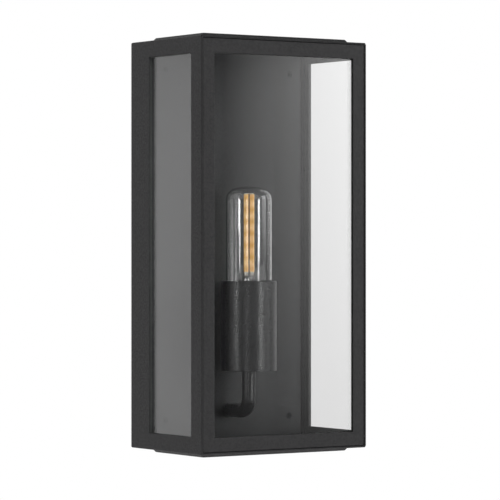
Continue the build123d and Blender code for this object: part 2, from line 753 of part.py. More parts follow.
# Sprung centre contact: a foot on the well's floor and a raised tongue under the lamp
tongue_foot_z = well_floor_z + tongue_sheet
with BuildPart() as centre_contact:
    with BuildSketch(Plane.XZ.offset(-lamp_y - tongue_width / 2)):
        with BuildLine():
            Polyline(
                (-tongue_foot, well_floor_z),
                (tongue_foot, well_floor_z),
                (tongue_foot, tongue_foot_z),
                (tongue_width / 2 + tongue_slope, tongue_foot_z),
                (tongue_width / 2, tongue_top_z),
                (-tongue_width / 2, tongue_top_z),
                (-tongue_width / 2 - tongue_slope, tongue_foot_z),
                (-tongue_foot, tongue_foot_z),
                close=True,
            )
        make_face()
    extrude(amount=tongue_width)
save(centre_contact.part, "holder_centre_contact")

# ---------------------------------------------------------------- lamp
def envelope(inset, mode):
    """Turns the lamp's glass outline, drawn in by inset, about the lamp's axis."""
    radius = bulb_radius - inset
    crown_radius = bulb_crown - inset
    top = bulb_top_z - inset
    drop = crown_radius - (crown_radius**2 - radius**2) ** 0.5
    half_angle = asin(radius / crown_radius) / 2
    middle = (lamp_y + crown_radius * sin(half_angle), top - crown_radius * (1 - cos(half_angle)))
    neck = neck_radius - inset
    with BuildSketch(Plane.YZ) as outline:
        with BuildLine():
            ThreePointArc((lamp_y, top), middle, (lamp_y + radius, top - drop))
            Polyline(
                (lamp_y + radius, top - drop),
                (lamp_y + radius, bulb_skirt_z),
                (lamp_y + neck, neck_top_z),
                (lamp_y + neck, neck_bottom_z),
                (lamp_y, neck_bottom_z),
                (lamp_y, top),
            )
        make_face()
        corners = outline.vertices().group_by(Axis.Y)
        fillet(corners[-2], bulb_shoulder - inset)
    revolve(outline.sketch, axis=Axis((0, lamp_y, 0), (0, 0, 1)), mode=mode)


with BuildPart() as lamp_glass:
    envelope(0, Mode.ADD)
    envelope(bulb_wall, Mode.SUBTRACT)
save(lamp_glass.part, "lamp_glass")

# Screw cap of the lamp: thin sleeve with one rolled ring for each turn of the thread
ring_count = int((cap_height - cap_collar) / screw_pitch)
with BuildPart() as lamp_cap:
    with BuildSketch(Plane.YZ):
        with Locations((lamp_y + cap_core / 2, (neck_top_z + cap_bottom_z) / 2)):
            Rectangle(cap_core, cap_height)
        for turn in range(ring_count):
            with Locations((lamp_y + cap_core, neck_top_z - cap_collar - (turn + 0.5) * screw_pitch)):
                Circle(cap_crest - cap_core)
        with Locations((lamp_y + cap_sleeve / 2, (neck_top_z + cap_bottom_z) / 2)):
            Rectangle(cap_sleeve, cap_height, mode=Mode.SUBTRACT)
    revolve(axis=Axis((0, lamp_y, 0), (0, 0, 1)))
save(lamp_cap.part, "lamp_cap")

with BuildPart() as lamp_insulator:
    with BuildSketch(Plane.YZ):
        with BuildLine():
            Polyline(
                (lamp_y, cap_bottom_z),
                (lamp_y + cap_core, cap_bottom_z),
                (lamp_y + insulator_foot, cap_bottom_z - insulator_height),
                (lamp_y, cap_bottom_z - insulator_height),
                close=True,
            )
        make_face()
    revolve(axis=Axis((0, lamp_y, 0), (0, 0, 1)))
save(lamp_insulator.part, "lamp_insulator")

with BuildPart() as lamp_contact:
    with BuildSketch(Plane.XY.offset(contact_bottom_z)):
        with Locations((0, lamp_y)):
            Circle(contact_radius)
    extrude(amount=contact_height)
    foot = lamp_contact.faces().sort_by(Axis.Z)[0].outer_wire().edges()
    fillet(foot, contact_height / 2)
save(lamp_contact.part, "lamp_contact")

# Glass stem: a flare sealed in the neck with a post that carries the filament wires
flare_radius = neck_radius - bulb_wall
with BuildPart() as lamp_stem:
    with BuildSketch(Plane.YZ):
        with BuildLine():
            Polyline(
                (lamp_y, neck_bottom_z),
                (lamp_y + flare_radius, neck_bottom_z),
                (lamp_y + flare_radius, neck_bottom_z + stem_flare),
                (lamp_y + stem_radius, neck_bottom_z + 3 * stem_flare),
                (lamp_y + stem_radius, stem_top_z),
                (lamp_y, stem_top_z),
                close=True,
            )
        make_face()
    revolve(axis=Axis((0, lamp_y, 0), (0, 0, 1)))
    with BuildSketch(Plane.XY.offset(neck_bottom_z)):
        with Locations((0, lamp_y)):
            Circle(stem_bore)
    extrude(amount=stem_top_z - stem_radius - neck_bottom_z, mode=Mode.SUBTRACT)
    post_rim = lamp_stem.faces().sort_by(Axis.Z)[-1].outer_wire().edges()
    fillet(post_rim, stem_radius - filament_circle - wire_radius - fit_gap)
save(lamp_stem.part, "lamp_stem")


def filament_places():
    """Centres of the filaments in plan, as a polar pattern about the lamp's axis."""
    return PolarLocations(filament_circle, filament_count, start_angle=filament_turn)


with BuildPart() as lamp_filaments:
    with BuildSketch(Plane((0, lamp_y, filament_bottom_z))):
        with filament_places():
            Circle(filament_radius)
    extrude(amount=filament_top_z - filament_bottom_z)
save(lamp_filaments.part, "lamp_filaments")

# Wires: a leg from the stem to each filament, and a bridge over each pair's upper ends
with BuildPart() as lamp_wires:
    with BuildSketch(Plane((0, lamp_y, stem_top_z))):
        with filament_places():
            Circle(wire_radius)
    extrude(amount=filament_bottom_z - stem_top_z)
    with BuildSketch(Plane((0, lamp_y, filament_top_z))):
        with filament_places():
            Circle(wire_radius)
    extrude(amount=2 * wire_radius)
    pair_angle = 2 * pi / filament_count
    for pair in range(filament_count // 2):
        first = radians(filament_turn) + 2 * pair * pair_angle
        ends = [
            (filament_circle * cos(a), lamp_y + filament_circle * sin(a), filament_top_z + 2 * wire_radius)
            for a in (first, first + pair_angle)
        ]
        with BuildLine():
            bridge = Line(*ends)
        with BuildSketch(Plane(ends[0], z_dir=bridge % 0)):
            Circle(wire_radius)
        sweep(path=bridge)
save(lamp_wires.part, "lamp_wires")

# Driver board in the lamp's cap, with its capacitor
driver_z = (neck_bottom_z + cap_bottom_z) / 2
with BuildPart() as lamp_driver:
    with Locations((0, lamp_y, driver_z)):
        Box(driver_width, driver_board, cap_height / 2)
    with Locations(Plane.XZ.offset(-lamp_y + driver_board / 2)):
        with Locations((0, driver_z)):
            Cylinder(driver_can, driver_can_length, align=(Align.CENTER, Align.CENTER, Align.MIN))
save(lamp_driver.part, "lamp_driver")

# ---------------------------------------------------------------- wiring
pole_x = (-pole_pitch, 0, pole_pitch)
block_front = plate_front + block_depth
block_bottom_z = block_z - block_height / 2
with BuildPart() as terminal_block:
    with BuildSketch(Plane.XZ.offset(plate_front)):
        with Locations((0, block_z)):
            Rectangle(block_width, block_height)
    extrude(amount=block_depth)
    front_edges = terminal_block.faces().sort_by(Axis.Y)[0].outer_wire().edges()
    fillet(front_edges, block_edge)
    with BuildSketch(Plane.XY.offset(block_bottom_z)):
        for x in pole_x:
            with Locations((x, block_y)):
                Circle(barrel_outer + fit_gap)
    extrude(amount=block_height, mode=Mode.SUBTRACT)
    with BuildSketch(Plane.XZ.offset(-block_y)):
        for x in pole_x:
            with Locations((x, block_z - pole_screw_offset), (x, block_z + pole_screw_offset)):
                Circle(pole_screw_radius + fit_gap)
    extrude(amount=block_depth, mode=Mode.SUBTRACT)
    with BuildSketch(Plane.XZ.offset(plate_front)):
        with Locations((-block_screw_x, block_z), (block_screw_x, block_z)):
            Circle(block_screw_radius + fit_gap)
    extrude(amount=block_depth, mode=Mode.SUBTRACT)
save(terminal_block.part, "terminal_block")

with BuildPart() as barrels:
    with BuildSketch(Plane.XY.offset(block_z - barrel_length / 2)):
        for x in pole_x:
            with Locations((x, block_y)):
                Circle(barrel_outer)
                Circle(barrel_inner, mode=Mode.SUBTRACT)
    extrude(amount=barrel_length)
    with BuildSketch(Plane.XZ.offset(-block_y)):
        for x in pole_x:
            with Locations((x, block_z - pole_screw_offset), (x, block_z + pole_screw_offset)):
                Circle(pole_screw_radius + fit_gap)
    extrude(amount=2 * barrel_outer, mode=Mode.SUBTRACT)
save(barrels.part, "terminal_barrels")

with BuildPart() as pole_screws:
    with BuildSketch(Plane.XZ.offset(-block_y + barrel_inner)):
        for x in pole_x:
            with Locations((x, block_z - pole_screw_offset), (x, block_z + pole_screw_offset)):
                Circle(pole_screw_radius)
    extrude(amount=pole_screw_length)
    with BuildSketch(Plane.XZ.offset(-block_y + barrel_inner + pole_screw_length)):
        for x in pole_x:
            with Locations((x, block_z - pole_screw_offset), (x, block_z + pole_screw_offset)):
                Rectangle(2 * pole_screw_radius, screw_slot)
    extrude(amount=-screw_slot, mode=Mode.SUBTRACT)
save(pole_screws.part, "terminal_screws")

with BuildPart() as block_screws:
    with BuildSketch(Plane.XZ.offset(plate_back)):
        with Locations((-block_screw_x, block_z), (block_screw_x, block_z)):
            Circle(block_screw_radius)
    extrude(amount=plate_sheet + block_depth)
    with BuildSketch(Plane.XZ.offset(block_front)):
        with Locations((-block_screw_x, block_z), (block_screw_x, block_z)):
            Circle(2 * block_screw_radius)
    extrude(amount=block_screw_head)
    with BuildSketch(Plane.XZ.offset(block_front + block_screw_head)):
        with Locations((-block_screw_x, block_z), (block_screw_x, block_z)):
            Rectangle(4 * block_screw_radius, screw_slot)
    extrude(amount=-block_screw_head / 2, mode=Mode.SUBTRACT)
save(block_screws.part, "terminal_block_screws")

# Live and neutral leads: terminal block, arm bore, lampholder
lead_drop_y = -(plate_front + lead_clearance + lead_radius)
barrel_end_z = block_z - barrel_length / 2 + lead_grip


def lamp_lead(offset_x, holder_x, terminal_x):
    """One insulated lead along the arm's bore, swept into the open part."""
    points = (
        (holder_x, lamp_y, holder_bottom_z + holder_screw_bite),
        (holder_x, lamp_y, holder_bottom_z - lead_drop),
        (offset_x, lamp_y, arm_top_z + lead_mouth),
        (offset_x, lamp_y, arm_z),
        (offset_x, lead_drop_y, arm_z),
        (offset_x, lead_drop_y, arm_z + lead_rise),
        (terminal_x, block_y, block_bottom_z - lead_entry),
        (terminal_x, block_y, barrel_end_z),
    )
    with BuildLine():
        route = FilletPolyline(
            *points,
            radius=(lead_bend_tight, lead_bend_tight, arm_bend, lead_bend, lead_bend_wide, lead_bend_wide),
        )
    with BuildSketch(Plane(points[0], z_dir=(0, 0, -1))) as section:
        Circle(lead_radius)
    sweep(section.sketch, path=route)


with BuildPart() as live_lead:
    lamp_lead(-lead_offset, -lead_spread, -pole_pitch)
save(live_lead.part, "live_lead")

with BuildPart() as neutral_lead:
    lamp_lead(lead_offset, lead_spread, 0)
save(neutral_lead.part, "neutral_lead")

# Earth: stud clinched in the back plate, ring terminal on its lead, nut and washer
ring_front = plate_front + earth_ring
with BuildPart() as earth_stud:
    with BuildSketch(Plane.XZ.offset(plate_back)):
        with Locations((earth_x, earth_z)):
            Circle(earth_radius)
    extrude(amount=plate_sheet + earth_stud_length)
save(earth_stud.part, "earth_stud")

with BuildPart() as earth_lead:
    with BuildSketch(Plane.XZ.offset(plate_front)):
        with Locations((earth_x, earth_z)):
            Circle(earth_ring_radius)
        with Locations((earth_x, earth_z + earth_ring_radius)):
            Rectangle(2 * lead_radius, 2 * earth_ring_radius)
        with Locations((earth_x, earth_z)):
            Circle(earth_radius + fit_gap, mode=Mode.SUBTRACT)
    extrude(amount=earth_ring)
    tail_z = earth_z + 2 * earth_ring_radius - lead_radius
    points = (
        (earth_x, -(plate_front + lead_radius), tail_z),
        (earth_x, -(plate_front + lead_radius), tail_z + earth_tail),
        (pole_pitch, block_y, block_bottom_z - lead_entry),
        (pole_pitch, block_y, barrel_end_z),
    )
    with BuildLine():
        route = FilletPolyline(*points, radius=earth_bend)
    with BuildSketch(Plane(points[0], z_dir=(0, 0, 1))):
        Circle(lead_radius)
    sweep(path=route)
save(earth_lead.part, "earth_lead")

with BuildPart() as earth_nut:
    with BuildSketch(Plane.XZ.offset(ring_front)):
        with Locations((earth_x, earth_z)):
            Circle(earth_ring_radius)
            Circle(earth_radius + fit_gap, mode=Mode.SUBTRACT)
    extrude(amount=earth_washer)
    with BuildSketch(Plane.XZ.offset(ring_front + earth_washer)):
        with Locations((earth_x, earth_z)):
            RegularPolygon(earth_nut_flats, 6, major_radius=False)
            Circle(earth_radius + fit_gap, mode=Mode.SUBTRACT)
    extrude(amount=earth_nut_height)
save(earth_nut.part, "earth_nut")
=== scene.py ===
from math import atan2, cos, degrees, pi, radians, sin, sqrt

import bpy
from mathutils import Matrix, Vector


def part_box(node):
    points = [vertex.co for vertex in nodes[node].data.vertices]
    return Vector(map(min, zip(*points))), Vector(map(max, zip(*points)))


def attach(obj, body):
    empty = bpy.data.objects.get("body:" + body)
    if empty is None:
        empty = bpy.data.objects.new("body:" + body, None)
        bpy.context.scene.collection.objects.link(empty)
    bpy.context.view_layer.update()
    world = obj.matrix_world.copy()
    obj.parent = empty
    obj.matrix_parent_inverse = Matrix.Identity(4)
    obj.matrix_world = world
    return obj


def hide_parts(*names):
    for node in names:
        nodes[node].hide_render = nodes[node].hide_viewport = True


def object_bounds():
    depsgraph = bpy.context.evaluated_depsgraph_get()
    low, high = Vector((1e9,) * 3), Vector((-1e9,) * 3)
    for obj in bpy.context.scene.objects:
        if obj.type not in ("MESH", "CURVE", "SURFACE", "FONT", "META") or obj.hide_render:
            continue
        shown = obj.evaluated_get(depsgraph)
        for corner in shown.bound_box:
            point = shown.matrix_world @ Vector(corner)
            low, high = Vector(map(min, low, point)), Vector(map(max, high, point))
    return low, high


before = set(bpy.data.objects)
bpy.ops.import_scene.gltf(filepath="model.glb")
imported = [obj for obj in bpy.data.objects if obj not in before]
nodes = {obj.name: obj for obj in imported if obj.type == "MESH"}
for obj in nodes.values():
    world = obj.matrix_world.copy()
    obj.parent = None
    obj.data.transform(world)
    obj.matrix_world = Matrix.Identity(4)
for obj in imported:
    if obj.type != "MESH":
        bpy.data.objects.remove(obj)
cadLow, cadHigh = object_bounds()
mm = 0.001
print("frame loaded:", len(nodes), "nodes")


# small helpers

def hexColour(code):  # sRGB hex to the linear values that shaders want
    def linear(c):
        return c / 12.92 if c <= 0.04045 else ((c + 0.055) / 1.055) ** 2.4
    return tuple(linear(int(code[i:i + 2], 16) / 255) for i in (1, 3, 5)) + (1.0,)


white = hexColour("#FFFFFF")


def addNode(tree, kind, inputs=None, **settings):  # an input is a value, or a socket to link
    node = tree.nodes.new(kind)
    for key, value in settings.items():
        setattr(node, key, value)
    for key, value in (inputs or {}).items():
        if isinstance(value, bpy.types.NodeSocket):
            tree.links.new(value, node.inputs[key])
        else:
            node.inputs[key].default_value = value
    return node


def newMaterial(name):
    material = bpy.data.materials.new(name)
    material.use_nodes = True
    material.node_tree.nodes.clear()
    return material, material.node_tree


def showShader(tree, shader):
    addNode(tree, "ShaderNodeOutputMaterial", {"Surface": shader})


def objectPoint(tree, stretch=(1, 1, 1)):
    place = addNode(tree, "ShaderNodeTexCoord")
    mapping = addNode(tree, "ShaderNodeMapping", {"Vector": place.outputs["Object"], "Scale": stretch})
    return mapping.outputs[0]


def repeatEvery(sizeMm):  # noise scale on Object coordinates for features about this size
    return 1 / (sizeMm * mm)


waveRate = {"Z": 20, "DIAGONAL": 10}  # radians that the wave texture turns in one unit along an axis


def bandsEvery(sizeMm, direction):  # wave scale for one light and one dark band in this length
    return 2 * pi / (waveRate[direction] * sizeMm * mm)


def colourSpread(tree, factor, darker, lighter):
    ramp = addNode(tree, "ShaderNodeMix", {
        0: factor, 6: hexColour(darker), 7: hexColour(lighter)}, data_type="RGBA")
    return ramp.outputs[2]


def rangeOf(tree, value, low, high, fromLow=0.35, fromHigh=0.65):  # noise seldom leaves 0.35 to 0.65
    scaled = addNode(tree, "ShaderNodeMapRange", {
        "Value": value, "From Min": fromLow, "From Max": fromHigh, "To Min": low, "To Max": high})
    return scaled.outputs[0]


# materials

powderCoat = {
    "name": "texturedBlackPowderCoat",
    "dark": "#121113", "light": "#1B1A1C",
    "grainMm": 1.1,  # the real texture is about 0.4 mm, drawn coarser so that it shows
    "cloudMm": 38,
    "roughLow": 0.48, "roughHigh": 0.7,
    "bump": 0.32, "bumpDepthMm": 0.08,
    "ior": 1.42,
}

satinCoat = {
    "name": "satinBlackStovedPaint",
    "dark": "#0A0A0B", "light": "#101012",
    "grainMm": 0.9,  # orange peel of the sprayed coat
    "cloudMm": 25,
    "roughLow": 0.26, "roughHigh": 0.36,
    "bump": 0.05, "bumpDepthMm": 0.04,
    "ior": 1.42,
}


def makePowderCoat(look):
    # baked coat on steel: deep neutral black, dull and grainy when textured, softly streaked when satin
    material, tree = newMaterial(look["name"])
    point = objectPoint(tree)
    grain = addNode(tree, "ShaderNodeTexNoise", {
        "Vector": point, "Scale": repeatEvery(look["grainMm"]), "Detail": 3.0, "Roughness": 0.6})
    cloud = addNode(tree, "ShaderNodeTexNoise", {
        "Vector": point, "Scale": repeatEvery(look["cloudMm"]), "Detail": 2.0})
    colour = colourSpread(tree, cloud.outputs["Fac"], look["dark"], look["light"])
    rough = rangeOf(tree, grain.outputs["Fac"], look["roughLow"], look["roughHigh"])
    bump = addNode(tree, "ShaderNodeBump", {
        "Height": grain.outputs["Fac"], "Strength": look["bump"], "Distance": look["bumpDepthMm"] * mm})
    shader = addNode(tree, "ShaderNodeBsdfPrincipled", {
        "Base Color": colour, "Roughness": rough, "IOR": look["ior"], "Normal": bump.outputs[0]})
    showShader(tree, shader.outputs[0])
    return material


floatGlass = {
    "name": "clearFloatGlass", "tint": "#FDFDFD", "shadowTint": "#F6F9F8", "ior": 1.52,
    "ripple": 0.02, "rippleMm": 60, "rippleDepthMm": 0.2}
drawnGlass = {
    "name": "clearDrawnLampGlass", "tint": "#FEFEFE", "shadowTint": "#FAFBFA", "ior": 1.5,
    "ripple": 0.008, "rippleMm": 60, "rippleDepthMm": 0.2}


def makeGlass(look):
    # soda-lime glass: clear and even, with sharp reflections; the lights shine straight through it
    material, tree = newMaterial(look["name"])
    point = objectPoint(tree)
    ripple = addNode(tree, "ShaderNodeTexNoise", {
        "Vector": point, "Scale": repeatEvery(look["rippleMm"]), "Detail": 1.0})
    bump = addNode(tree, "ShaderNodeBump", {
        "Height": ripple.outputs["Fac"], "Strength": look["ripple"],
        "Distance": look["rippleDepthMm"] * mm})
    glass = addNode(tree, "ShaderNodeBsdfPrincipled", {
        "Base Color": hexColour(look["tint"]), "Roughness": 0.0, "IOR": look["ior"],
        "Transmission Weight": 1.0, "Normal": bump.outputs[0]})
    clear = addNode(tree, "ShaderNodeBsdfTransparent", {"Color": hexColour(look["shadowTint"])})
    path = addNode(tree, "ShaderNodeLightPath")
    both = addNode(tree, "ShaderNodeMixShader", {
        0: path.outputs["Is Shadow Ray"], 1: glass.outputs[0], 2: clear.outputs[0]})
    showShader(tree, both.outputs[0])
    return material


softRubber = {  # moulded silicone: dull black with soft highlights
    "name": "blackSiliconeRubber", "dark": "#141414", "light": "#1D1D1C", "grainMm": 1.5,
    "rough": (0.5, 0.65), "bump": 0.1}
closedFoam = {  # cut foam: flat and pitted, takes nearly all light
    "name": "closedCellFoam", "dark": "#151515", "light": "#242423", "grainMm": 1.3,
    "rough": (0.85, 0.97), "bump": 0.4}
whiteNylon = {  # moulded: warm off-white with a low sheen
    "name": "naturalNylon", "dark": "#D5D2C6", "light": "#E2DFD4", "grainMm": 4,
    "rough": (0.4, 0.5), "bump": 0.1}
blackNylon = {  # moulded: dark grey with a low sheen
    "name": "blackNylon", "dark": "#191919", "light": "#222222", "grainMm": 2,
    "rough": (0.5, 0.6), "bump": 0.1}
blackVitrite = {  # cast glass: near black, smooth and glossy
    "name": "blackVitriteGlass", "dark": "#0B0B10", "light": "#14131A", "grainMm": 3,
    "rough": (0.12, 0.22), "bump": 0.03}
brownSleeve = {  # extruded silicone: even brown, half dull
    "name": "brownSiliconeSleeve", "dark": "#4A2410", "light": "#5B2E16", "grainMm": 1.2,
    "rough": (0.45, 0.6), "bump": 0.1}
blueSleeve = {  # extruded silicone: even blue, half dull
    "name": "blueSiliconeSleeve", "dark": "#1B4C93", "light": "#2159A6", "grainMm": 1.2,
    "rough": (0.45, 0.6), "bump": 0.1}
porcelain = {  # fired glaze: creamy white with sharp highlights
    "name": "glazedPorcelain", "dark": "#DAD6CA", "light": "#EBE8DF", "grainMm": 6,
    "rough": (0.1, 0.2), "bump": 0.03}
greenBoard = {  # lacquered laminate: deep green with an uneven shine
    "name": "greenCircuitBoard", "dark": "#0F4A26", "light": "#1A6A38", "grainMm": 1.5,
    "rough": (0.3, 0.5), "bump": 0.2}
mouldedDepth = 0.05 * mm


def makeMoulded(look):
    # moulded or fired piece: even colour with slight clouding and a soft, fine surface
    material, tree = newMaterial(look["name"])
    point = objectPoint(tree)
    grain = addNode(tree, "ShaderNodeTexNoise", {
        "Vector": point, "Scale": repeatEvery(look["grainMm"]), "Detail": 3.0})
    colour = colourSpread(tree, grain.outputs["Fac"], look["dark"], look["light"])
    rough = rangeOf(tree, grain.outputs["Fac"], *look["rough"])
    relief = addNode(tree, "ShaderNodeBump", {
        "Height": grain.outputs["Fac"], "Strength": look["bump"], "Distance": mouldedDepth})
    shader = addNode(tree, "ShaderNodeBsdfPrincipled", {
        "Base Color": colour, "Roughness": rough, "Normal": relief.outputs[0]})
    showShader(tree, shader.outputs[0])
    return material


zincPlate = {  # electroplated: pale, bluish and bright
    "name": "brightZincPlate", "dark": "#A9ABB0", "light": "#CFD1D2",
    "stretch": (1, 1, 1), "rough": (0.25, 0.42)}
blackOxide = {  # chemically blackened: dark with a faint metal glint
    "name": "blackOxideSteel", "dark": "#0C0C0D", "light": "#17171A",
    "stretch": (1, 1, 1), "rough": (0.4, 0.55)}
springStrip = {  # cold rolled: grey with fine lines along the strip
    "name": "rolledSpringSteel", "dark": "#7E8085", "light": "#9A9CA0",
    "stretch": (1, 12, 12), "rough": (0.3, 0.45)}
rolledBrass = {  # rolled: warm yellow with fine lines
    "name": "rolledBrass", "dark": "#B08D4A", "light": "#CFAE6C",
    "stretch": (6, 6, 1), "rough": (0.22, 0.36)}
nickelPlate = {  # satin plate: warm silver with a broad highlight
    "name": "satinNickelPlate", "dark": "#B5B0A6", "light": "#CCC8BF",
    "stretch": (1, 1, 9), "rough": (0.26, 0.38)}
tinSolder = {  # set from liquid: soft, slightly dull silver
    "name": "tinSolder", "dark": "#A8A9AA", "light": "#C9CACB",
    "stretch": (1, 1, 1), "rough": (0.3, 0.5)}
metalGrain = {"grainMm": 2.5, "bump": 0.08, "bumpDepthMm": 0.03}


def makeMetal(look):
    # plated or rolled metal: bright, with a fine finish drawn out along the rolling direction
    material, tree = newMaterial(look["name"])
    point = objectPoint(tree, look["stretch"])
    grain = addNode(tree, "ShaderNodeTexNoise", {
        "Vector": point, "Scale": repeatEvery(metalGrain["grainMm"]), "Detail": 4.0})
    colour = colourSpread(tree, grain.outputs["Fac"], look["dark"], look["light"])
    rough = rangeOf(tree, grain.outputs["Fac"], *look["rough"])
    relief = addNode(tree, "ShaderNodeBump", {
        "Height": grain.outputs["Fac"], "Strength": metalGrain["bump"],
        "Distance": metalGrain["bumpDepthMm"] * mm})
    shader = addNode(tree, "ShaderNodeBsdfPrincipled", {
        "Base Color": colour, "Roughness": rough, "Metallic": 1.0, "Normal": relief.outputs[0]})
    showShader(tree, shader.outputs[0])
    return material


earthSleeve = {
    "name": "greenYellowSleeve", "green": "#2E8B2F", "yellow": "#E2C62B",
    "stripeMm": 32.67,  # one green and one yellow band in this length of lead
    "waver": 0.6, "edge": (0.52, 0.6),
    "rough": 0.5,
}


def makeEarthSleeve(look):
    # two-colour extruded sleeve: green with a yellow stripe that winds round the lead
    material, tree = newMaterial(look["name"])
    wave = addNode(tree, "ShaderNodeTexWave", {
        "Vector": objectPoint(tree), "Scale": bandsEvery(look["stripeMm"], "DIAGONAL"),
        "Distortion": look["waver"]}, wave_type="BANDS", bands_direction="DIAGONAL")
    edge = rangeOf(tree, wave.outputs["Fac"], 0.0, 1.0, *look["edge"])
    colour = colourSpread(tree, edge, look["green"], look["yellow"])
    shader = addNode(tree, "ShaderNodeBsdfPrincipled", {
        "Base Color": colour, "Roughness": look["rough"]})
    showShader(tree, shader.outputs[0])
    return material


phosphor = {
    "name": "phosphorCoatedFilament",
    "deep": "#CC9540", "pale": "#F8DFAE", "glow": "#E9B765",
    "bandMm": 8.17,  # from one thick stretch of the coating to the next
    "streakMm": 1.6,
    "bump": 0.15, "bumpDepthMm": 0.05,
    "rough": 0.35,
    "scatter": 0.25, "scatterReach": (1.0, 0.6, 0.25), "scatterMm": 0.6,
    "glowStrength": 0.2,
}


def makePhosphor(look):
    # silicone full of yellow phosphor: warm, waxy and a little glossy, and paler where it is thin
    material, tree = newMaterial(look["name"])
    point = objectPoint(tree)
    bands = addNode(tree, "ShaderNodeTexWave", {
        "Vector": point, "Scale": bandsEvery(look["bandMm"], "Z"), "Distortion": 0.0},
        wave_type="BANDS", bands_direction="Z")
    streak = addNode(tree, "ShaderNodeTexNoise", {
        "Vector": point, "Scale": repeatEvery(look["streakMm"]), "Detail": 2.0})
    both = addNode(tree, "ShaderNodeMath", {
        0: bands.outputs["Fac"], 1: streak.outputs["Fac"]}, operation="MULTIPLY")
    colour = colourSpread(tree, both.outputs[0], look["deep"], look["pale"])
    relief = addNode(tree, "ShaderNodeBump", {
        "Height": bands.outputs["Fac"], "Strength": look["bump"], "Distance": look["bumpDepthMm"] * mm})
    shader = addNode(tree, "ShaderNodeBsdfPrincipled", {
        "Base Color": colour, "Roughness": look["rough"], "Normal": relief.outputs[0],
        "Subsurface Weight": look["scatter"], "Subsurface Radius": look["scatterReach"],
        "Subsurface Scale": look["scatterMm"] * mm,
        "Emission Color": hexColour(look["glow"]), "Emission Strength": look["glowStrength"]})
    showShader(tree, shader.outputs[0])
    return material


paint = {
    "powder": makePowderCoat(powderCoat),
    "satin": makePowderCoat(satinCoat),
    "pane": makeGlass(floatGlass),
    "bulb": makeGlass(drawnGlass),
    "rubber": makeMoulded(softRubber),
    "foam": makeMoulded(closedFoam),
    "whiteNylon": makeMoulded(whiteNylon),
    "blackNylon": makeMoulded(blackNylon),
    "vitrite": makeMoulded(blackVitrite),
    "brownSleeve": makeMoulded(brownSleeve),
    "blueSleeve": makeMoulded(blueSleeve),
    "porcelain": makeMoulded(porcelain),
    "board": makeMoulded(greenBoard),
    "zinc": makeMetal(zincPlate),
    "blackOxide": makeMetal(blackOxide),
    "spring": makeMetal(springStrip),
    "brass": makeMetal(rolledBrass),
    "nickel": makeMetal(nickelPlate),
    "solder": makeMetal(tinSolder),
    "earthSleeve": makeEarthSleeve(earthSleeve),
    "phosphor": makePhosphor(phosphor),
}

paintOf = {
    "powder": ["left_side_panel", "right_side_panel", "top_cap", "bottom_cap", "front_frame", "gear_tray",
               "back_plate", "plate_edge_strips"],
    "satin": ["lampholder_cup", "lamp_arm"],
    "pane": ["front_glass", "left_glass", "right_glass"],
    "rubber": ["front_glass_gasket", "left_glass_gasket", "right_glass_gasket", "cable_grommet"],
    "foam": ["foam_wall_gasket"],
    "spring": ["front_glass_clips", "left_glass_clips", "right_glass_clips"],
    "zinc": ["tray_pillars", "cage_screw_nuts", "arm_lock_washer", "arm_rear_nut", "cup_nut",
             "holder_bracket", "holder_screws", "terminal_screws", "terminal_block_screws",
             "earth_stud", "earth_nut"],
    "blackOxide": ["tray_screws", "cage_screws"],
    "blackNylon": ["cage_screw_spacers"],
    "porcelain": ["lampholder_body"],
    "brass": ["holder_screw_shell", "holder_centre_contact", "terminal_barrels"],
    "whiteNylon": ["terminal_block"],
    "brownSleeve": ["live_lead"],
    "blueSleeve": ["neutral_lead"],
    "earthSleeve": ["earth_lead"],
    "bulb": ["lamp_glass", "lamp_stem"],
    "phosphor": ["lamp_filaments"],
    "nickel": ["lamp_wires", "lamp_cap"],
    "vitrite": ["lamp_insulator"],
    "solder": ["lamp_contact"],
    "board": ["lamp_driver"],
}
for name, members in paintOf.items():
    for member in members:
        nodes[member].data.materials.clear()
        nodes[member].data.materials.append(paint[name])
print("materials on", sum(len(m) for m in paintOf.values()), "nodes")


# mesh helpers

def newPiece(name, points, faces, material, smooth=True):
    mesh = bpy.data.meshes.new(name)
    mesh.from_pydata(points, [], faces)
    mesh.validate()
    mesh.materials.append(material)
    if smooth:
        mesh.shade_smooth()
    piece = bpy.data.objects.new(name, mesh)
    bpy.context.scene.collection.objects.link(piece)
    return piece


def arcPoints(centre, radius, start, end, steps):  # in degrees, both ends included
    angles = [radians(start + (end - start) * i / steps) for i in range(steps + 1)]
    return [(centre[0] + radius * cos(angle), centre[1] + radius * sin(angle)) for angle in angles]


def lathe(name, profile, axis, material, segments):
    # profile runs from the upper pole outwards and down, so that faces point out; radius 0 is a pole
    points, rings, faces = [], [], []
    for radius, height in profile:
        if radius == 0:
            rings.append([len(points)] * segments)
            points.append((axis.x, axis.y, height))
        else:
            first = len(points)
            rings.append([first + i for i in range(segments)])
            for i in range(segments):
                angle = 2 * pi * i / segments
                points.append((axis.x + radius * cos(angle), axis.y + radius * sin(angle), height))
    for upper, lower in zip(rings, rings[1:]):
        for i in range(segments):
            j = (i + 1) % segments
            corners = [upper[i], lower[i], lower[j], upper[j]]
            faces.append([c for k, c in enumerate(corners) if c not in corners[:k]])
    return newPiece(name, points, faces, material)


# lamp

glassLow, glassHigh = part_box("lamp_glass")
capLow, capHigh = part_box("lamp_cap")
stemLow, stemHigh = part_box("lamp_stem")
rodLow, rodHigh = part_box("lamp_filaments")
lampAxis = (glassLow + glassHigh) / 2

envelope = {
    "wall": 0.8 * mm,
    "crownRadius": 38 * mm,
    "shoulder": 8.5 * mm,
    "skirtHeight": 13 * mm,  # from the glass's foot to the end of its straight wall
    "neckHeight": 6 * mm,
    "neckRadius": 12.15 * mm,
    "bendWide": 1.4 * mm, "bendTall": 1.6 * mm,  # half the sloping stretch between skirt and neck
    "crownSteps": 10, "shoulderSteps": 14, "around": 128,
}


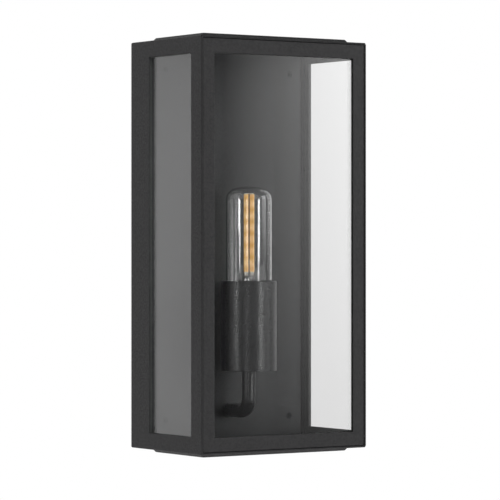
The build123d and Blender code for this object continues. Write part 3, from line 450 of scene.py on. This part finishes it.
def envelopeOutline(inset, look):
    bulbRadius = (glassHigh.x - glassLow.x) / 2
    crownCentre = glassHigh.z - look["crownRadius"]
    reach = look["crownRadius"] - look["shoulder"]
    across = bulbRadius - look["shoulder"]
    shoulderZ = crownCentre + sqrt(reach ** 2 - across ** 2)
    meet = degrees(atan2(shoulderZ - crownCentre, across))
    crown = arcPoints((0, crownCentre), look["crownRadius"] - inset, 90, meet, look["crownSteps"])
    turn = arcPoints((across, shoulderZ), look["shoulder"] - inset, meet, 0, look["shoulderSteps"])
    skirtZ = glassLow.z + look["skirtHeight"]
    neckZ = glassLow.z + look["neckHeight"]
    neck = look["neckRadius"] - inset
    bend, bendZ = (bulbRadius - inset + neck) / 2, (skirtZ + neckZ) / 2
    return [(0, glassHigh.z - inset)] + crown[1:] + turn[1:] + [
        (bulbRadius - inset, skirtZ), (bend + look["bendWide"], bendZ + look["bendTall"]),
        (bend - look["bendWide"], bendZ - look["bendTall"]), (neck, neckZ), (neck, glassLow.z)]


outerWall = envelopeOutline(0, envelope)
innerWall = envelopeOutline(envelope["wall"], envelope)
lampEnvelope = lathe(
    "lampEnvelope", outerWall + innerWall[::-1], lampAxis, paint["bulb"], envelope["around"])
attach(lampEnvelope, "lamp")
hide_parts("lamp_glass")

screwCap = {
    "pitch": 3.629 * mm,
    "core": 12.35 * mm, "crest": 13.1 * mm,  # radii of the thread
    "wall": 0.3 * mm,
    "collar": 3.2 * mm,  # plain rim above the thread
    "runOut": 2.2 * mm,
    "around": 96, "along": 110,
}


def capRadius(angle, height, look):
    # right-hand rolled thread that fades out under the collar and at the foot
    top = capHigh.z - look["collar"]
    fade = min(1, max(0, (top - height) / look["runOut"]), max(0, (height - capLow.z) / look["runOut"]))
    swell = 0.5 + 0.5 * cos(2 * pi * height / look["pitch"] - angle)
    return look["core"] + (look["crest"] - look["core"]) * fade * swell


def makeScrewCap(look):
    # sheet metal: an outer and an inner wall of the same thread, closed at the rim and the foot
    points, faces = [], []
    around, along = look["around"], look["along"]
    for inner in (0, 1):
        for row in range(along + 1):
            height = capHigh.z + (capLow.z - capHigh.z) * row / along
            for i in range(around):
                angle = 2 * pi * i / around
                radius = capRadius(angle, height, look) - inner * look["wall"]
                x, y = lampAxis.x + radius * cos(angle), lampAxis.y + radius * sin(angle)
                points.append((x, y, height))
    shell = (along + 1) * around  # the inner wall's first point
    foot = along * around
    for row in range(along):
        for i in range(around):
            j = (i + 1) % around
            a, b = row * around + i, row * around + j
            faces.append((a, a + around, b + around, b))
            faces.append((shell + b, shell + b + around, shell + a + around, shell + a))
    for i in range(around):
        j = (i + 1) % around
        faces.append((i, j, shell + j, shell + i))
        faces.append((foot + j, foot + i, shell + foot + i, shell + foot + j))
    return newPiece("lampScrewCap", points, faces, paint["nickel"])


lampScrewCap = makeScrewCap(screwCap)
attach(lampScrewCap, "lamp")
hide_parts("lamp_cap")

stem = {
    "flare": 11.3 * mm, "tube": 3.6 * mm,  # radii at the foot and above it
    "flareShare": 0.32, "flareCurve": 2.4, "flareSteps": 8,
    "pinchWide": 3.7 * mm, "pinchThin": 1.5 * mm, "pinchTall": 7 * mm, "pinchSteps": 6,
    "pinchRun": 3 * mm,  # height over which the round tube turns flat
    "tip": ((0.7, 0.15 * mm), (0.95, 0.7 * mm)),  # share of the tube's radius, depth below the top
    "around": 48,
}


def makeStem(look):
    # flared tube whose upper end is pinched flat round the wires
    tube, steps = look["tube"], look["pinchSteps"]
    tipDeep = look["tip"][-1][1]
    pinchFoot = stemHigh.z - look["pinchTall"]
    flareTop = (stemHigh.z - stemLow.z) * look["flareShare"]
    outline = [(0, stemHigh.z)] + [(tube * share, stemHigh.z - deep) for share, deep in look["tip"]]
    for i in range(1, steps + 1):
        outline.append((tube, stemHigh.z - tipDeep - (look["pinchTall"] - tipDeep) * i / steps))
    outline.append((tube, stemLow.z + flareTop))
    for i in range(1, look["flareSteps"] + 1):
        down = i / look["flareSteps"]
        radius = tube + (look["flare"] - tube) * down ** look["flareCurve"]
        outline.append((radius, stemLow.z + flareTop * (1 - down)))
    outline.append((0, stemLow.z))
    piece = lathe("lampStem", outline, lampAxis, paint["bulb"], look["around"])
    for v in piece.data.vertices:
        share = min(1, max(0, (v.co.z - pinchFoot + look["pinchRun"]) / look["pinchRun"]))
        share = share * share * (3 - 2 * share)  # eases in and out
        v.co.x = lampAxis.x + (v.co.x - lampAxis.x) * (1 + (look["pinchWide"] / tube - 1) * share)
        v.co.y = lampAxis.y + (v.co.y - lampAxis.y) * (1 + (look["pinchThin"] / tube - 1) * share)
    return piece


lampStem = makeStem(stem)
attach(lampStem, "lamp")
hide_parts("lamp_stem")

filament = {
    "count": 4, "turn": radians(29),
    "rod": 0.95 * mm, "sides": 20,
    "tab": 0.55 * mm, "tabTall": 1.6 * mm, "tabSides": 8,
}


def filamentTree(look):
    # rods on a circle, each with a metal tab at both ends
    tree = bpy.data.node_groups.new("filamentRods", "GeometryNodeTree")
    sizes = ("Circle", "Rod", "Length", "Turn", "Tab", "Tab Length")
    kinds = {
        "Count": "NodeSocketInt", **dict.fromkeys(sizes, "NodeSocketFloat"), "Centre": "NodeSocketVector"}
    for label, kind in kinds.items():
        tree.interface.new_socket(label, in_out="INPUT", socket_type=kind)
    tree.interface.new_socket("Geometry", in_out="OUTPUT", socket_type="NodeSocketGeometry")
    given = addNode(tree, "NodeGroupInput").outputs
    ring = addNode(tree, "GeometryNodeMeshCircle", {
        "Vertices": given["Count"], "Radius": given["Circle"]})
    spin = addNode(tree, "ShaderNodeCombineXYZ", {"Z": given["Turn"]})
    spots = addNode(tree, "GeometryNodeTransform", {
        "Geometry": ring.outputs[0], "Translation": given["Centre"], "Rotation": spin.outputs[0]})

    def rod(radius, length, lift, sides):
        top = addNode(tree, "ShaderNodeCombineXYZ", {"Z": length})
        line = addNode(tree, "GeometryNodeCurvePrimitiveLine", {"End": top.outputs[0]})
        wall = addNode(tree, "GeometryNodeCurvePrimitiveCircle", {"Resolution": sides, "Radius": radius})
        body = addNode(tree, "GeometryNodeCurveToMesh", {
            "Curve": line.outputs[0], "Profile Curve": wall.outputs[0], "Fill Caps": True})
        move = addNode(tree, "ShaderNodeCombineXYZ", {"Z": lift})
        placed = addNode(tree, "GeometryNodeTransform", {
            "Geometry": body.outputs[0], "Translation": move.outputs[0]})
        return placed.outputs[0]

    def join(parts):
        joined = addNode(tree, "GeometryNodeJoinGeometry")
        for part in parts:
            tree.links.new(part, joined.inputs[0])
        return joined.outputs[0]

    def copies(shape, material):
        placed = addNode(tree, "GeometryNodeInstanceOnPoints", {
            "Points": spots.outputs[0], "Instance": shape})
        smooth = addNode(tree, "GeometryNodeSetShadeSmooth", {"Geometry": placed.outputs[0]})
        real = addNode(tree, "GeometryNodeRealizeInstances", {"Geometry": smooth.outputs[0]})
        coated = addNode(tree, "GeometryNodeSetMaterial", {
            "Geometry": real.outputs[0], "Material": material})
        return coated.outputs[0]

    half = addNode(tree, "ShaderNodeMath", {0: given["Tab Length"], 1: -0.5}, operation="MULTIPLY")
    upper = addNode(tree, "ShaderNodeMath", {0: given["Length"], 1: half.outputs[0]}, operation="ADD")
    rods = rod(given["Rod"], given["Length"], 0.0, look["sides"])
    tabs = join([rod(given["Tab"], given["Tab Length"], lift.outputs[0], look["tabSides"])
                 for lift in (half, upper)])
    whole = join([copies(rods, paint["phosphor"]), copies(tabs, paint["nickel"])])
    addNode(tree, "NodeGroupOutput", {"Geometry": whole})
    return tree


def bakeTree(name, tree, values):
    # the tree's result as a plain mesh, with no modifier left
    maker = bpy.data.objects.new(name + "Maker", bpy.data.meshes.new(name + "Maker"))
    bpy.context.scene.collection.objects.link(maker)
    modifier = maker.modifiers.new("nodes", "NODES")
    modifier.node_group = tree
    for item in tree.interface.items_tree:
        if item.in_out == "INPUT" and item.name in values:
            modifier[item.identifier] = values[item.name]
    seen = maker.evaluated_get(bpy.context.evaluated_depsgraph_get())
    mesh = bpy.data.meshes.new_from_object(seen)
    maker.modifiers.remove(modifier)
    bpy.data.objects.remove(maker)
    mesh.name = name
    piece = bpy.data.objects.new(name, mesh)
    bpy.context.scene.collection.objects.link(piece)
    return piece


rodReach = (rodHigh.x - rodLow.x) / 2 - filament["rod"]  # sideways from the axis to the outermost rod
circleRadius = rodReach / max(cos(filament["turn"]), sin(filament["turn"]))
filamentRods = bakeTree("filamentRods", filamentTree(filament), {
    "Count": filament["count"], "Circle": circleRadius, "Rod": filament["rod"],
    "Length": rodHigh.z - rodLow.z, "Turn": filament["turn"], "Tab": filament["tab"],
    "Tab Length": filament["tabTall"], "Centre": (lampAxis.x, lampAxis.y, rodLow.z)})
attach(filamentRods, "lamp")
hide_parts("lamp_filaments")
print("lamp made")


# camera, lights and stage

view = {
    "azimuth": -33.84, "pitch": -0.099, "distance": 1.9373,
    "lens": 201.7, "clipStart": 0.05,
    "behindFront": 43 * mm,
}
middle = Vector((0, cadLow.y + view["behindFront"], 0))  # what the camera and the lights turn about


def aroundMiddle(azimuth, distance, height=0.0):
    # azimuth 0 is straight in front of the lantern, and positive is towards +X
    angle = radians(azimuth)
    return middle + Vector((distance * sin(angle), -distance * cos(angle), height))


camera = bpy.data.objects.new("camera", bpy.data.cameras.new("camera"))
camera.data.lens = view["lens"]
camera.data.clip_start = view["clipStart"]
camera.location = aroundMiddle(view["azimuth"], view["distance"])
camera.rotation_euler = (radians(90 + view["pitch"]), 0, radians(view["azimuth"]))
bpy.context.scene.collection.objects.link(camera)
bpy.context.scene.camera = camera

softboxes = (
    {"name": "stripRight", "azimuth": 17, "distance": 1.5, "height": 0.0,
     "wide": 0.27, "tall": 0.62, "radiance": 9.5, "fadeSides": (0.1, 0.1), "fadeEnds": (0.1, 0.1)},
    {"name": "stripLeft", "azimuth": -86, "distance": 1.5, "height": 0.12,
     "wide": 0.3, "tall": 0.48, "radiance": 9.0, "fadeSides": (0.1, 0.1), "fadeEnds": (0.15, 0.1)},
    {"name": "stripFront", "azimuth": -44, "distance": 2.2, "height": 0.0,
     "wide": 0.34, "tall": 0.9, "radiance": 4.0, "fadeSides": (0.3, 0.3), "fadeEnds": (0.1, 0.1)},
    {"name": "bankRight", "azimuth": 61, "distance": 1.6, "height": 0.35,
     "wide": 1.82, "tall": 1.4, "radiance": 3.4, "fadeSides": (0.13, 0.4), "fadeEnds": (0.5, 0.1)},
)


def addSoftbox(look):
    # a lit cloth whose glow falls off towards its edges; a fade is (left, right) or (bottom, top)
    data = bpy.data.lights.new(look["name"], "AREA")
    data.shape = "RECTANGLE"
    data.size, data.size_y = look["wide"], look["tall"]
    data.energy = look["radiance"] * pi * look["wide"] * look["tall"]
    data.use_nodes = True
    tree = data.node_tree
    tree.nodes.clear()
    across = addNode(tree, "ShaderNodeSeparateXYZ", {
        0: addNode(tree, "ShaderNodeNewGeometry").outputs["Parametric"]})

    def edge(socket, first, last):
        rise = rangeOf(tree, socket, 0.0, 1.0, 0.0, first)
        fall = rangeOf(tree, socket, 1.0, 0.0, 1.0 - last, 1.0)
        return addNode(tree, "ShaderNodeMath", {0: rise, 1: fall}, operation="MULTIPLY").outputs[0]

    sides = edge(across.outputs[0], *look["fadeSides"])
    ends = edge(across.outputs[1], *look["fadeEnds"])
    glow = addNode(tree, "ShaderNodeMath", {0: sides, 1: ends}, operation="MULTIPLY")
    lit = addNode(tree, "ShaderNodeEmission", {"Color": white, "Strength": glow.outputs[0]})
    addNode(tree, "ShaderNodeOutputLight", {"Surface": lit.outputs[0]})
    box = bpy.data.objects.new(look["name"], data)
    box.location = aroundMiddle(look["azimuth"], look["distance"], look["height"])
    aim = aroundMiddle(0, 0, look["height"]) - box.location
    box.rotation_euler = aim.to_track_quat("-Z", "Y").to_euler()
    box.visible_camera = False
    bpy.context.scene.collection.objects.link(box)


for box in softboxes:
    addSoftbox(box)

room = {
    "seen": 1.0, "behind": 0.89, "front": 0.08,
    "turn": (-0.25, 0.25),  # where the dim front gives way to the sweep
}


def makeRoom(look):
    # a white sweep behind the lantern and a dim studio in front; the camera itself sees white all round
    world = bpy.data.worlds.new("studio")
    bpy.context.scene.world = world
    world.use_nodes = True
    tree = world.node_tree
    tree.nodes.clear()
    facing = addNode(tree, "ShaderNodeSeparateXYZ", {
        0: addNode(tree, "ShaderNodeTexCoord").outputs["Generated"]})
    strength = rangeOf(tree, facing.outputs["Y"], look["front"], look["behind"], *look["turn"])
    around = addNode(tree, "ShaderNodeBackground", {"Color": white, "Strength": strength})
    seen = addNode(tree, "ShaderNodeBackground", {"Color": white, "Strength": look["seen"]})
    path = addNode(tree, "ShaderNodeLightPath")
    both = addNode(tree, "ShaderNodeMixShader", {
        0: path.outputs["Is Camera Ray"], 1: around.outputs[0], 2: seen.outputs[0]})
    addNode(tree, "ShaderNodeOutputWorld", {"Surface": both.outputs[0]})


makeRoom(room)


paper = {
    "dark": "#EDEDEB", "light": "#FFFFFF",
    "fibreMm": 400,  # large soft clouds, since the fibres are too fine to see
    "rough": 0.9, "lift": 0.3,
    "drop": 0.3, "half": 2.0,  # below the lantern, and half the sheet's side
}


def makePaper(look):
    # matt white paper
    material, tree = newMaterial("paleFloor")
    fibre = addNode(tree, "ShaderNodeTexNoise", {
        "Vector": objectPoint(tree), "Scale": repeatEvery(look["fibreMm"]), "Detail": 2.0})
    tone = colourSpread(tree, fibre.outputs["Fac"], look["dark"], look["light"])
    shader = addNode(tree, "ShaderNodeBsdfPrincipled", {
        "Base Color": tone, "Roughness": look["rough"], "Emission Color": white,
        "Emission Strength": look["lift"]})
    showShader(tree, shader.outputs[0])
    return material


corners = [(x * paper["half"], y * paper["half"], cadLow.z - paper["drop"])
           for x, y in ((-1, -1), (1, -1), (1, 1), (-1, 1))]
floor = newPiece("floor", corners, [(0, 1, 2, 3)], makePaper(paper), smooth=False)

viewSettings = bpy.context.scene.view_settings
viewSettings.view_transform = "Standard"
viewSettings.look = "None"
print("camera, lights and stage ready")
